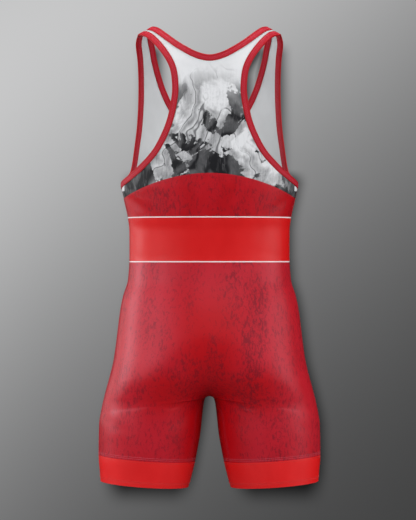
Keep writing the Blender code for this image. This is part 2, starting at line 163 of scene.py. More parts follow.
def section(side, height, fractions=FRACTIONS):
    """A half section of the body, from its middle round to the side seam."""
    angle = radians(90) * (1 - share(fractions, side))
    power = 2 / SQUARENESS
    height = height + np.zeros_like(fractions)
    x = read(BODY, 1, height) * np.cos(angle) ** power
    y = side * depth_at(BODY, side, height) * np.sin(angle) ** power
    x[fractions == 0] = 0.0
    y[fractions == 1] = 0.0
    return np.stack([x, y, height], axis=1)


# Creases and fullness of the cloth
# Stretch knit shows few folds. The softer ones lie where the body bends or the cloth is held: under
# the arms, at the waist, under the seat, and in the crotch. Each row: three points on the skin, the
# width on its upper and lower side, and how far it sinks in (or, if negative, stands out).
FOLDS = (
    (((-112, -100, -668), (-72, -112, -686), (-32, -96, -676)), 28, 17, 3.4),
    (((36, -98, -674), (78, -112, -687), (118, -98, -666)), 26, 18, 3.1),
    (((0, -118, -585), (0, -116, -620), (0, -100, -655)), 19, 19, 2.4),
    (((-152, -20, -405), (-120, -70, -411), (-70, -88, -404)), 7, 10, 0.9),
    (((66, -88, -399), (110, -72, -409), (150, -18, -416)), 9, 7, 0.8),
    (((-150, -20, -300), (-128, -66, -318), (-96, -84, -345)), 8, 12, 1.1),
    (((104, -84, -338), (134, -60, -315), (152, -14, -296)), 12, 8, 1.0),
    (((-168, -30, -560), (-140, -88, -545), (-96, -110, -548)), 12, 9, 1.0),
    (((100, -110, -542), (142, -84, -550), (170, -26, -568)), 10, 13, 0.9),
    (((-30, -60, -690), (-62, -92, -716), (-104, -98, -730)), 9, 7, 0.9),
    (((32, -62, -694), (60, -92, -722), (98, -98, -742)), 8, 9, 0.9),
    (((-196, -20, -700), (-180, -64, -712), (-150, -88, -720)), 10, 12, 0.9),
    (((150, -88, -712), (182, -60, -722), (198, -16, -728)), 12, 9, 1.0),
    (((-40, 90, -648), (-78, 92, -636), (-128, 82, -606)), 12, 9, 2.2),
    (((38, 90, -646), (82, 92, -632), (132, 80, -600)), 10, 12, 2.0),
    (((-34, 88, -668), (-66, 90, -672), (-104, 84, -664)), 8, 10, 1.3),
    (((32, 88, -666), (70, 90, -668), (108, 84, -656)), 9, 8, 1.2),
    (((0, 98, -596), (0, 97, -626), (0, 92, -652)), 12, 12, 1.8),
    (((-150, 30, -300), (-126, 74, -322), (-84, 96, -340)), 9, 12, 1.2),
    (((90, 96, -334), (130, 72, -316), (152, 28, -298)), 12, 9, 1.1),
    (((-148, 24, -404), (-112, 78, -412), (-60, 94, -408)), 7, 10, 1.0),
    (((54, 94, -402), (108, 80, -413), (149, 22, -408)), 9, 8, 0.9),
    (((-90, 100, -206), (-52, 109, -224), (-14, 111, -230)), 9, 12, 1.0),
    (((18, 111, -226), (56, 109, -222), (92, 100, -200)), 11, 9, 0.9),
    (((-66, -96, -60), (-34, -101, -76), (-6, -102, -72)), 7, 10, 0.7),
    (((12, -102, -78), (40, -101, -70), (68, -96, -64)), 9, 7, 0.7),
    (((-72, -100, -150), (-94, -96, -190), (-124, -78, -226)), 9, 7, 0.8),
    (((74, -100, -146), (98, -96, -188), (126, -76, -228)), 8, 9, 0.8),
)


def folded(points, normals):
    """The points moved in and out by the folds, which fade at both ends."""
    sunk = np.zeros(len(points))
    for (a, b, c), above, below, depth in FOLDS:
        t = np.linspace(0, 1, 17)[:, None]
        a, b, c = (np.array(p, float) for p in (a, b, c))
        line = (1 - t) ** 2 * a + 2 * t * (1 - t) * (2 * b - (a + c) / 2) + t**2 * c
        reach = 3 * max(above, below)
        near = np.all((points > line.min(axis=0) - reach) & (points < line.max(axis=0) + reach), axis=1)
        away = points[near][:, None, :] - line[None, :, :]
        squared = (away**2).sum(axis=2)
        closest = squared.argmin(axis=1)
        rows = np.arange(len(closest))
        up = away[rows, closest][:, 2] > 0
        width = np.where(up, above, below)
        fade = np.sin(pi * np.clip(closest / 16, 0.04, 0.96)) ** 0.7
        sunk[near] += depth * fade * np.exp(-squared[rows, closest] / width**2)
    return points - sunk[:, None] * normals


# The skin
# All the cut pieces share one middle surface, so that they meet at their seams. It is made for the
# right half as grids of points, each with its place on the flat cloth, and then mirrored.
PANELS = (
    "back_yoke", "back_chest", "back_stripe_top", "back_waist", "back_stripe_low", "back_seat",
    "front_yoke", "front_chest", "front_stripe_top", "front_waist", "front_stripe_low", "front_lower",
    "leg_band_right", "leg_band_left",
)
skin = bmesh.new()
cloth_uv = skin.loops.layers.uv.new("cloth")


def run_length(points):
    return np.concatenate([[0], np.cumsum(np.linalg.norm(np.diff(points, axis=0), axis=1))])


def add_grid(points, flat, piece):
    """Rows run downwards, and their points anticlockwise seen from above."""
    verts = [[skin.verts.new(p) for p in row] for row in points]
    index = PANELS.index(piece)
    for i in range(len(points) - 1):
        for j in range(len(points[0]) - 1):
            corners = ((i, j), (i + 1, j), (i + 1, j + 1), (i, j + 1))
            face = skin.faces.new([verts[r][c] for r, c in corners])
            face.material_index = index
            for loop, (r, c) in zip(face.loops, corners):
                loop[cloth_uv].uv = flat[r][c]


def flat_places(points, side):
    """Where points of the upper garment lie on the flat cloth, from the middle and from the crest."""
    x, z = points[..., 0], points[..., 2]
    below = np.clip(shoulder_line(x) - z, 0, None)
    turned = np.arccos(np.clip(1 - below / ARCH, 0, 1)) * ARCH
    down = np.where(below < ARCH, turned, ARCH * pi / 2 + below - ARCH)
    around = np.clip(np.abs(x) / read(BODY, 1, z), 0, 1)
    ramp = np.linspace(0, 1, 65)
    curve = np.stack([ramp * 160, 105 * (1 - ramp**SQUARENESS) ** (1 / SQUARENESS)], axis=1)
    return np.stack([np.interp(around, ramp, run_length(curve)), -down], axis=-1) * MM


# Both yokes
# The racerback and the bib, each cut with its two straps in one piece and joined over the shoulders
# and under the arms. Their edges are the lines of the table points, in the same places as the solids.
CLOTH = 1.0
TAPE = 1.0
TAPE_WIDTH = 12.0
TAPE_GAP = 0.3
YOKE_APEX_Z = -262.3
YOKE_SIDE_DROP = 43.2
YOKE_CURVE = 2.0
UNDERARM_Z = -276.5
CENTRE_CORNER_Z = -160.0
STRAP_ROWS = 72
BACK_NECK_ROWS = 42
YOKE_COLUMNS = 32
WING_COLUMNS = HALF_COLUMNS - YOKE_COLUMNS
WING_ROWS = 24
EDGES = {
    -1: {
        "arm": (
            (131, None), (114, -15), (91, -40), (73, -70), (67.3, -101), (69, -132),
            (78.8, -174), (99.6, -217), (125.4, -246.5), (143.5, -262), (151, -268), (157.5, -273),
        ),
        "neck": ((104.5, None), (92, 3), (78, -8), (60, -22.5), (42, -34.5), (22, -45), (0, -50)),
        "corner": -188.0,
    },
    1: {
        "arm": (
            (131, None), (135.5, -24), (132.5, -55), (131.5, -100), (134, -165),
            (139.5, -214), (144, -246), (148.5, -259.5), (156, -270.5),
        ),
        "neck": (
            (104.5, None), (102.5, -18), (97.5, -46), (90, -75), (80, -104),
            (65, -134), (43, -162), (20, -181), (0, -187),
        ),
        "corner": -190.0,
    },
}


def edge_curve(line, side, end):
    """A smooth line on the skin through a table's points, from the shoulder to the point end."""
    points = []
    for x, z in line:
        below = 0 if z is None else shoulder_line(x) - z
        turn = np.arccos(1 - min(below, ARCH) / ARCH)
        height = shoulder_line(x) - below
        reach = depth_at(BODY, side, height)
        reach = reach * (1 - (x / read(BODY, 1, height)) ** SQUARENESS) ** (1 / SQUARENESS)
        points.append((x, side * reach * sin(turn), height))
    points = np.array(points + ([end] if end is not None else []))
    before = points[1] * (1, -1, 1)
    after = points[-2] * ((1, -1, 1) if end is not None else (-1, 1, 1))
    held = np.vstack([before, points, after])
    dense = []
    for a, b, c, d in zip(held, held[1:], held[2:], held[3:]):
        for s in np.linspace(0, 1, 24, endpoint=False):
            bend = (2 * a - 5 * b + 4 * c - d) * s**2 + (3 * b - a - 3 * c + d) * s**3
            dense.append(b + ((c - a) * s + bend) / 2)
    return snap(np.vstack([dense, points[-1]]))


def along(curve, distances):
    length = run_length(curve)
    return np.stack([np.interp(distances, length, curve[:, i]) for i in range(3)], axis=1)


def inset(curve, points, distance, sign):
    """Points moved across the skin, away from the edge line that they lie on."""
    nearest = np.array([np.argmin(((curve - p) ** 2).sum(axis=1)) for p in points])
    ahead = curve[np.clip(nearest + 2, 0, len(curve) - 1)]
    behind = curve[np.clip(nearest - 2, 0, len(curve) - 1)]
    inward = sign * np.cross(unit(gradient(points)), unit(ahead - behind))
    return snap(points + distance * inward)


def between(a, b, steps):
    """Points on the skin along the straight way from a to b."""
    return snap(a + steps[:, None] * (b - a))


def crest_point(x):
    return np.array((x, 0.0, shoulder_line(x)))


def arc_row(side):
    """The curved seam under a yoke."""
    height = YOKE_APEX_Z + 0 * FRACTIONS
    for _ in range(8):
        x = section(side, height)[:, 0]
        out = x / read(BODY, 1, YOKE_APEX_Z - YOKE_SIDE_DROP)
        height = YOKE_APEX_Z - YOKE_SIDE_DROP * out**YOKE_CURVE
    return section(side, height)


def yoke(side):
    """Adds one yoke to the skin and returns its arm and neck edges, each with its inner line."""
    piece = "back_yoke" if side < 0 else "front_yoke"
    cut = EDGES[side]
    slant = 1 / sqrt(1 + SHOULDER_SLOPE**2)
    fold = CLOTH / 2 + TAPE_GAP + TAPE
    underarm = section(side, UNDERARM_Z)[-1]
    arm = edge_curve(cut["arm"], side, underarm)
    neck = edge_curve(cut["neck"], side, None)
    neck[-1, 0] = 0.0
    arm_length, neck_length = run_length(arm), run_length(neck)
    corner = arm_length[np.argmax(arm[:, 2] <= cut["corner"])]
    strap = np.linspace(0, corner, STRAP_ROWS + 1)
    wing = np.linspace(corner, arm_length[-1], WING_COLUMNS + 1)[1:]
    arm_points = along(arm, np.concatenate([strap, wing]))
    neck_rows = BACK_NECK_ROWS if side < 0 else STRAP_ROWS
    neck_points = along(neck, np.linspace(0, neck_length[-1], neck_rows + 1))
    lines = {
        "arm_edge": inset(arm, arm_points, fold, side),
        "arm_inner": inset(arm, arm_points, TAPE_WIDTH, side),
        "neck_edge": inset(neck, neck_points, fold, -side),
        "neck_inner": inset(neck, neck_points, TAPE_WIDTH, -side),
    }
    for name, distance in (("edge", fold), ("inner", TAPE_WIDTH)):
        lines["arm_" + name][0] = crest_point(cut["arm"][0][0] - distance * slant)
        lines["arm_" + name][-1] = section(side, UNDERARM_Z - distance)[-1]
        lines["neck_" + name][0] = crest_point(cut["neck"][0][0] + distance * slant)
        lines["neck_" + name][-1, 0] = 0.0
    inner, arm_inner = lines["neck_inner"], lines["arm_inner"]
    if side < 0:
        heights = np.linspace(inner[-1, 2], CENTRE_CORNER_Z, STRAP_ROWS - neck_rows + 1)[1:]
        inner = np.vstack([inner, [section(side, z)[0] for z in heights]])
    steps = np.linspace(0, 1, YOKE_COLUMNS + 1)
    rows = []
    for i in range(STRAP_ROWS + 1):
        row = between(inner[i], arm_inner[i], steps)
        if i == 0:
            row = inner[i] + steps[:, None] * (arm_inner[i] - inner[i])
        if inner[i][0] == 0:
            row[0, 0] = 0.0
        row[0], row[-1] = inner[i], arm_inner[i]
        rows.append(row)
    tops = np.vstack([rows[-1], arm_inner[STRAP_ROWS + 1 :]])
    bottoms = arc_row(side)
    drops = np.linspace(0, 1, WING_ROWS + 1)
    columns = []
    for i, (top, bottom) in enumerate(zip(tops, bottoms)):
        column = between(top, bottom, drops)
        if i == 0:
            column[:, 0] = 0.0
        if i == HALF_COLUMNS:
            column[:, 1] = 0.0
            column[:, 0] = read(BODY, 1, column[:, 2])
        column[0], column[-1] = top, bottom
        columns.append(column)
    for grid in (np.array(rows), np.array(columns).transpose(1, 0, 2)):
        grid = grid[:, :: -side]
        add_grid(grid, flat_places(grid, side), piece)
    return lines


def add_strip(edge, inner, back_count):
    """The skin under a tape, between the cloth's edge and the tape's inner line, in two columns."""
    middle = snap((edge + inner) / 2)
    for rows in (slice(0, back_count + 1), slice(back_count, None)):
        piece = "back_yoke" if rows.start == 0 else "front_yoke"
        grid = np.stack([edge[rows], middle[rows], inner[rows]])
        add_grid(grid, flat_places(grid, -1), piece)


back_lines, front_lines = yoke(-1), yoke(1)
arm_edge, arm_inner = (
    np.vstack([back_lines[name], front_lines[name][-2::-1]]) for name in ("arm_edge", "arm_inner")
)
neck_edge, neck_inner = (
    np.vstack([back_lines[name][::-1], front_lines[name][1:]]) for name in ("neck_edge", "neck_inner")
)
add_strip(arm_edge, arm_inner, len(back_lines["arm_edge"]) - 1)
add_strip(neck_edge, neck_inner, len(back_lines["neck_edge"]) - 1)

# From the yokes' seam to the hems
# Chest, stripes, waist and the lower part with its legs. Below the hips each half section opens into
# a ring round the leg, and the leg bands close the rings.
TOP_STRIPE_Z = -339.7
LOW_STRIPE_Z = -420.0
STRIPE = 2.0
FORK_START_Z = -560.0
CROTCH_Z = -665.0
FORK_SIDE_Z = -690.0
BAND_SIDE_Z = -773.4
BAND_INNER_Z = -785.4
HEM_SIDE_Z = -821.0
HEM_INNER_Z = -832.2
INSEAM_ANGLE = 151.0
FORK_SOFTNESS = 30.0
FORK_BLENDING = 60
BLENDED_ROWS = 16
LEG_CROWDING = 1.7
CHEST_ROWS = 20
WAIST_ROWS = 22
HIP_ROWS = 38
FORK_ROWS = 44
LEG_ROWS = 36
BAND_ROWS = 14


def smoothstep(t):
    return t * t * (3 - 2 * t)


def signed_power(value, power):
    return np.abs(value) ** power * np.where(value >= 0, 1, -1)


def fork_row(side, side_z, middle_z, reach, softness):
    """Part of an oval, from the side seam round by the angle reach to the middle of the body."""
    part = 1 - share(FRACTIONS, side)
    height = side_z + (middle_z - side_z) * (1 - np.cos(pi * part)) / 2
    used = (reach - 90) / 90
    power = (2 / SQUARENESS) * (1 - used) + used
    outer = read(BODY, 1, height)
    far = signed_power(cos(radians(reach)), power)
    centre = -outer * far / (1 - far)
    x = centre + (outer - centre) * signed_power(np.cos(radians(reach) * part), power)
    x = np.maximum(x, 0)
    x[0] = 0.0
    level_x = np.where(x < centre, np.minimum(centre, np.sqrt(x * x + softness**2)), x)
    across = np.minimum(1, np.abs((level_x - centre) / (outer - centre)) ** (1 / power))
    depth = (1 - used) * depth_at(BODY, side, height) + used * depth_at(LEG, side, height)
    y = side * depth * (1 - across**2) ** (power / 2)
    return np.stack([x, y, height], axis=1)


def leg_row(side, side_z, inner_z, inseam):
    """Part of a leg's ring, from the inseam round to the side seam."""
    reach = inseam if side < 0 else 360 - inseam
    angle = radians(reach) * (1 - share(FRACTIONS, side))
    height = side_z + (inner_z - side_z) * (1 - np.cos(angle)) / 2
    outer, inner = read(BODY, 1, height), read(LEG, 1, inner_z)
    turned = np.sin(angle) * side < 0
    depth = np.where(turned, read(LEG, 2, height), read(LEG, 3, height))
    x = (outer + inner) / 2 + (outer - inner) / 2 * np.cos(angle)
    return np.stack([x, side * depth * np.sin(angle), height], axis=1)


def fork_values(t):
    reach = 90 + 90 * smoothstep(t)
    middle_z = FORK_START_Z + (CROTCH_Z - FORK_START_Z) * -cos(radians(reach))
    return FORK_START_Z + (FORK_SIDE_Z - FORK_START_Z) * t, middle_z, reach, FORK_SOFTNESS * (1 - t)


def leg_values(t):
    side_z = FORK_SIDE_Z + (BAND_SIDE_Z - FORK_SIDE_Z) * t
    inner_z = CROTCH_Z + (BAND_INNER_Z - CROTCH_Z) * t**LEG_CROWDING
    return side_z, inner_z, 180 - (180 - INSEAM_ANGLE) * smoothstep(min(1, 2 * t))


def band_values(t):
    side_z = BAND_SIDE_Z + (HEM_SIDE_Z - BAND_SIDE_Z) * t
    return side_z, BAND_INNER_Z + (HEM_INNER_Z - BAND_INNER_Z) * t, INSEAM_ANGLE


def steps(count, first=0):
    return [i / count for i in range(first, count + 1)]


body_rows = {-1: [], 1: []}
for side in (-1, 1):
    rows = body_rows[side]
    top = arc_row(side)
    for t in steps(CHEST_ROWS)[:-1]:
        heights = top[:, 2] + t * (TOP_STRIPE_Z - top[:, 2])
        rows.append(("chest", section(side, heights)))
    for name, upper, lower, count in (
        ("stripe_top", TOP_STRIPE_Z, TOP_STRIPE_Z - STRIPE, 2),
        ("waist", TOP_STRIPE_Z - STRIPE, LOW_STRIPE_Z, WAIST_ROWS),
        ("stripe_low", LOW_STRIPE_Z, LOW_STRIPE_Z - STRIPE, 2),
        ("lower", LOW_STRIPE_Z - STRIPE, FORK_START_Z, HIP_ROWS),
    ):
        rows += [(name, section(side, upper + t * (lower - upper))) for t in steps(count)[:-1]]
    rows += [("lower", section(side, FORK_START_Z))]
    rows += [("lower", fork_row(side, *fork_values(t))) for t in steps(FORK_ROWS, 1)]
    rows += [("lower", leg_row(side, *leg_values(t))) for t in steps(LEG_ROWS, 1)]
    rows[-1] = ("band", rows[-1][1])
    rows += [("band", leg_row(side, *band_values(t))) for t in steps(BAND_ROWS, 1)]

PIECE_OF = {"lower": {-1: "back_seat", 1: "front_lower"}, "band": {-1: "leg_band_right", 1: "leg_band_right"}}
for side, rows in body_rows.items():
    points = np.array([row for _, row in rows])
    turn = len(rows) - 1 - BAND_ROWS - LEG_ROWS - FORK_ROWS
    near = np.arange(turn - BLENDED_ROWS, turn + BLENDED_ROWS + 1)
    pull = smoothstep(1 - np.abs(near - turn) / (BLENDED_ROWS + 1))[:, None, None]
    for _ in range(FORK_BLENDING):
        points[near] += pull * ((points[near - 1] + points[near + 1]) / 2 - points[near]) / 2
    widths = np.array([run_length(row[::-1])[::-1] for row in points])
    flat = np.stack([widths, points[..., 2] + 0 * widths], axis=-1) * MM
    if side > 0:
        points, flat = points[:, ::-1], flat[:, ::-1]
        flat = flat * (-1, 1)
    names = [name for name, _ in rows]
    for name in dict.fromkeys(names):
        first = names.index(name)
        last = min(len(names) - 1, first + names.count(name))
        piece = PIECE_OF.get(name, {-1: "back_" + name, 1: "front_" + name})[side]
        add_grid(points[first : last + 1], flat[first : last + 1], piece)

made = bmesh.ops.duplicate(skin, geom=skin.verts[:] + skin.edges[:] + skin.faces[:])["geom"]
for item in made:
    if isinstance(item, bmesh.types.BMVert):
        item.co.x = -item.co.x
left = [item for item in made if isinstance(item, bmesh.types.BMFace)]
bmesh.ops.reverse_faces(skin, faces=left)
for face in left:
    for loop in face.loops:
        loop[cloth_uv].uv.x += 1
    if PANELS[face.material_index] == "leg_band_right":
        face.material_index = PANELS.index("leg_band_left")
bmesh.ops.remove_doubles(skin, verts=skin.verts[:], dist=0.002)
skin.normal_update()
skin.verts.index_update()
skin.verts.ensure_lookup_table()
smooth_normals = np.array([v.normal for v in skin.verts])
smooth_points = np.array([v.co for v in skin.verts])
skin_points = folded(smooth_points, smooth_normals)
for vert, point in zip(skin.verts, skin_points):
    vert.co = point
skin.normal_update()
skin_normals = np.array([v.normal for v in skin.verts])
tree = KDTree(len(smooth_points))
for i, point in enumerate(smooth_points):
    tree.insert(point, i)
tree.balance()
surface = BVHTree.FromBMesh(skin)


# Material nodes
# Prints, knit and sheen are worked out by nodes. Value lets them be written as sums and products.
class Value:
    """A socket that adds Math nodes when it is used in arithmetic."""

    def __init__(self, finish, socket):
        self.finish, self.socket = finish, socket

    def math(self, operation, *others):
        return self.finish.maths(operation, self, *others)

    def __add__(self, other):
        return self.math("ADD", other)

    def __sub__(self, other):
        return self.math("SUBTRACT", other)

    def __rsub__(self, other):
        return self.finish.maths("SUBTRACT", other, self)

    def __mul__(self, other):
        return self.math("MULTIPLY", other)

    def __truediv__(self, other):
        return self.math("DIVIDE", other)

    def __pow__(self, other):
        return self.math("POWER", other)

    def __abs__(self):
        return self.math("ABSOLUTE")

    __radd__ = __add__
    __rmul__ = __mul__


class Finish:
    """A material under construction."""

    def __init__(self, name, roughness, sheen=0.0, specular=0.5):
        self.material = bpy.data.materials.new(name)
        self.material.use_nodes = True
        self.tree = self.material.node_tree
        self.shader = self.tree.nodes["Principled BSDF"]
        self.shader.inputs["Roughness"].default_value = roughness
        self.shader.inputs["Sheen Weight"].default_value = sheen
        self.shader.inputs["Sheen Roughness"].default_value = 0.35
        self.shader.inputs["Specular IOR Level"].default_value = specular

    def node(self, kind, settings=None, sockets=None, output=0):
        node = self.tree.nodes.new(kind)
        for name, value in (settings or {}).items():
            if name == "stops":
                self.set_stops(node.color_ramp.elements, value)
            else:
                setattr(node, name, value)
        for name, value in (sockets or {}).items():
            if isinstance(value, Value):
                self.tree.links.new(value.socket, node.inputs[name])
            else:
                node.inputs[name].default_value = value
        return Value(self, node.outputs[output])

    def set_stops(self, elements, stops):
        """The stops of a colour ramp: places in rising order, each with its grey."""
        for place, _ in stops[1:-1]:
            elements.new(place)
        for element, (place, grey) in zip(elements, stops):
            element.position, element.color = place, (grey, grey, grey, 1)

    def maths(self, operation, *values):
        return self.node("ShaderNodeMath", {"operation": operation}, dict(enumerate(values)))

    def place(self, scale=(1, 1, 1), turn=(0, 0, 0), move=(0, 0, 0)):
        """Object coordinates in metres, scaled, turned and moved."""
        where = self.node("ShaderNodeTexCoord", output="Object")
        sockets = {"Vector": where, "Scale": scale, "Rotation": turn, "Location": move}
        return self.node("ShaderNodeMapping", None, sockets)

    def axes(self, vector):
        parts = [self.node("ShaderNodeSeparateXYZ", None, {0: vector}, i) for i in range(3)]
        return parts

    def cloth_axes(self):
        """The place on the flat cloth, in metres across and along."""
        return self.axes(self.node("ShaderNodeUVMap", {"uv_map": "cloth"}))[:2]

    def noise(self, where, scale, detail=2.0, roughness=0.5, warp=0.0):
        sockets = {"Vector": where, "Scale": scale, "Detail": detail, "Roughness": roughness}
        return self.node("ShaderNodeTexNoise", None, {**sockets, "Distortion": warp})

    def ramp(self, value, low, high):
        """0 below low, 1 above high, and smooth between."""
        sockets = {"Value": value, "From Min": low, "From Max": high}
        return self.node("ShaderNodeMapRange", {"interpolation_type": "SMOOTHSTEP"}, sockets)

    def mix(self, mask, a, b):
        a, b = (each if isinstance(each, Value) else (*each, 1) for each in (a, b))
        sockets = {"Factor": mask, 6: a, 7: b}
        return self.node("ShaderNodeMix", {"data_type": "RGBA"}, sockets, 2)

    def set(self, name, value):
        if isinstance(value, Value):
            self.tree.links.new(value.socket, self.shader.inputs[name])
        else:
            self.shader.inputs[name].default_value = (*value, 1)

    def knit(self, wale=0.0009, course=0.0007, strength=0.22, extra=None):
        """The bump of fine jersey: columns of small loops."""
        across, down = self.cloth_axes()
        column = (across / wale).math("FRACT")
        bow = abs(column - 0.5)
        loops = ((down / course + bow) * (2 * pi)).math("SINE") * 0.25
        height = (bow * -2 + 1) ** 0.6 + loops
        if extra is not None:
            height = height + extra
        sockets = {"Height": height, "Strength": strength, "Distance": 0.0002}
        self.set("Normal", self.node("ShaderNodeBump", None, sockets))


# Drifts of worn ink: how far to the right, top, bottom, half width, strength
DRIFTS = (
    (82, -425, -720, 24, 1.0),
    (50, -415, -500, 20, 0.8),
    (8, -540, -660, 16, 0.8),
    (126, -420, -790, 17, 0.6),
    (-78, -480, -590, 24, 0.45),
    (-122, -450, -560, 20, 0.4),
    (-40, -590, -690, 44, 0.8),
    (66, -610, -700, 46, 0.9),
    (-96, -650, -790, 22, 0.4),
    (62, -690, -780, 18, 0.5),
    (-26, -425, -470, 20, 0.45),
    (-92, -284, -345, 30, 0.8),
    (48, -296, -345, 16, 0.7),
    (98, -284, -345, 26, 0.75),
)


def distress(finish, amount, seed):
    """A mask of worn-looking ink: short cracks and blots that run down the cloth in drifts."""
    move = (seed, seed * 0.37, seed * 0.71)
    x, y, z = finish.axes(finish.place())
    wander = finish.noise(finish.place(scale=(1, 1, 0.7), move=move), 20, 4, 0.6) - 0.5
    drifts = finish.ramp(finish.noise(finish.place(scale=(1, 1, 0.4), move=move), 24, 3, 0.6), 0.36, 0.64) * 0.72
    for aside, top, bottom, half, strength in DRIFTS:
        away = abs(x - aside * MM + wander * 0.09)
        middle, reach = (top + bottom) / 2 * MM, (top - bottom) / 2 * MM
        along = abs(z - middle + wander * 0.08)
        inside = 1 - finish.ramp(away, half * 0.3 * MM, half * 1.5 * MM)
        within = 1 - finish.ramp(along, reach * 0.7, reach * 1.15)
        drifts = drifts.math("MAXIMUM", inside * within * strength)
    grain = finish.noise(finish.place(scale=(1, 1, 0.42), move=move), 250, 4, 0.7, 0.5)
    blots = finish.ramp(grain + drifts * 0.1, 0.565, 0.66)
    cracks = abs(finish.noise(finish.place(scale=(1, 1, 0.6), move=move), 115, 4, 0.65, 1.6) - 0.5)
    cracks = (1 - finish.ramp(cracks, 0.006, 0.028)) * finish.ramp(drifts, 0.3, 0.8)
    return (blots + cracks * 0.55).math("MINIMUM", 1) * (drifts * 0.4 + 0.6) * amount


# Crimson cloth
# Chest, seat and legs: glossy jersey printed crimson with darker worn-looking ink. Below the waist a
# painted sheen makes it rosier, and painted shade deepens it down the middle of the seat and under it.
CRIMSON = (0.42, 0.002, 0.005)
CRIMSON_LIGHT = (0.47, 0.0045, 0.010)
# Rosy crimson: painted sheen.
PAINTED_SHEEN_CRIMSON = (0.475, 0.0125, 0.024)
# Deep crimson: painted shade.
PAINTED_SHADE_CRIMSON = (0.44, 0.0008, 0.002)
INK = (0.10, 0.003, 0.009)


def crimson_cloth(name, amount, seed):
    finish = Finish(name, 0.34, 0.0, 0.42)
    finish.shader.inputs["Specular Tint"].default_value = (1, 0.84, 1, 1)
    cloudy = finish.noise(finish.place(scale=(1, 1, 0.5)), 26, 3, 0.6)
    ground = finish.mix(finish.ramp(cloudy, 0.35, 0.7), CRIMSON, CRIMSON_LIGHT)
    x, y, z = finish.axes(finish.place())
    # Painted shade: deeper crimson down the middle of the seat and in a band under the seat, where shade falls.
    middle = (1 - finish.ramp(abs(x), 0.02, 0.09)) * (1 - finish.ramp(z, -0.53, -0.43))
    under = (1 - finish.ramp(abs(x), 0.08, 0.15)) * (1 - finish.ramp(abs(z + 0.655), 0.015, 0.06))
    painted_shade_mask = middle.math("MAXIMUM", under)
    # Painted sheen: rosier crimson over the hips, seat and legs, below the lower stripe.
    above = finish.ramp(z, -0.42, -0.35)
    ground = finish.mix((1 - above) * (0.45 + cloudy * 0.4), ground, PAINTED_SHEEN_CRIMSON)
    ground = finish.mix(painted_shade_mask * 0.85, ground, PAINTED_SHADE_CRIMSON)
    mask = distress(finish, amount, seed)
    finish.set("Base Color", finish.mix(mask.math("MINIMUM", 1), ground, INK))
    finish.set("Roughness", 0.27 + mask * 0.14 + cloudy * 0.05)
    finish.knit(extra=mask * 0.5)
    return finish.material


chest_cloth = crimson_cloth("chest_cloth", 0.66, 3.1)
lower_cloth = crimson_cloth("lower_cloth", 0.62, 0.4)


# Plain cloths
# The waist and the stripes are the same jersey in plain colours; the leg bands are a firmer knit.
def plain_cloth(name, colour, paler, roughness, specular, wale=0.0009):
    finish = Finish(name, roughness, 0.0, specular)
    cloudy = finish.noise(finish.place(scale=(1, 1, 0.6)), 22, 3, 0.6)
    finish.set("Base Color", finish.mix(finish.ramp(cloudy, 0.3, 0.75), colour, paler))
    finish.set("Roughness", roughness - 0.02 + cloudy * 0.05)
    finish.knit(wale=wale)
    return finish.material


waist_cloth = plain_cloth("waist_cloth", (0.60, 0.004, 0.004), (0.64, 0.007, 0.007), 0.32, 0.4)
band_cloth = plain_cloth("band_cloth", (0.70, 0.003, 0.003), (0.74, 0.006, 0.006), 0.34, 0.72, 0.0012)
stripe_cloth = plain_cloth("stripe_cloth", (0.74, 0.66, 0.66), (0.78, 0.71, 0.71), 0.5, 0.4)
inside_cloth = plain_cloth("inside_cloth", (0.58, 0.60, 0.60), (0.64, 0.66, 0.66), 0.6, 0.3)

# Printed cloth
# The yokes are white jersey with an abstract print in greys and black, like ink run into wet paper:
# nearly bare at the top, and darker in soft folds and blots towards the curved seam. Painted shade
# greys it at the crest over the shoulders.
PAPER = (0.70, 0.70, 0.70)
GREY = (0.17, 0.17, 0.172)
BLACK = (0.012, 0.012, 0.014)


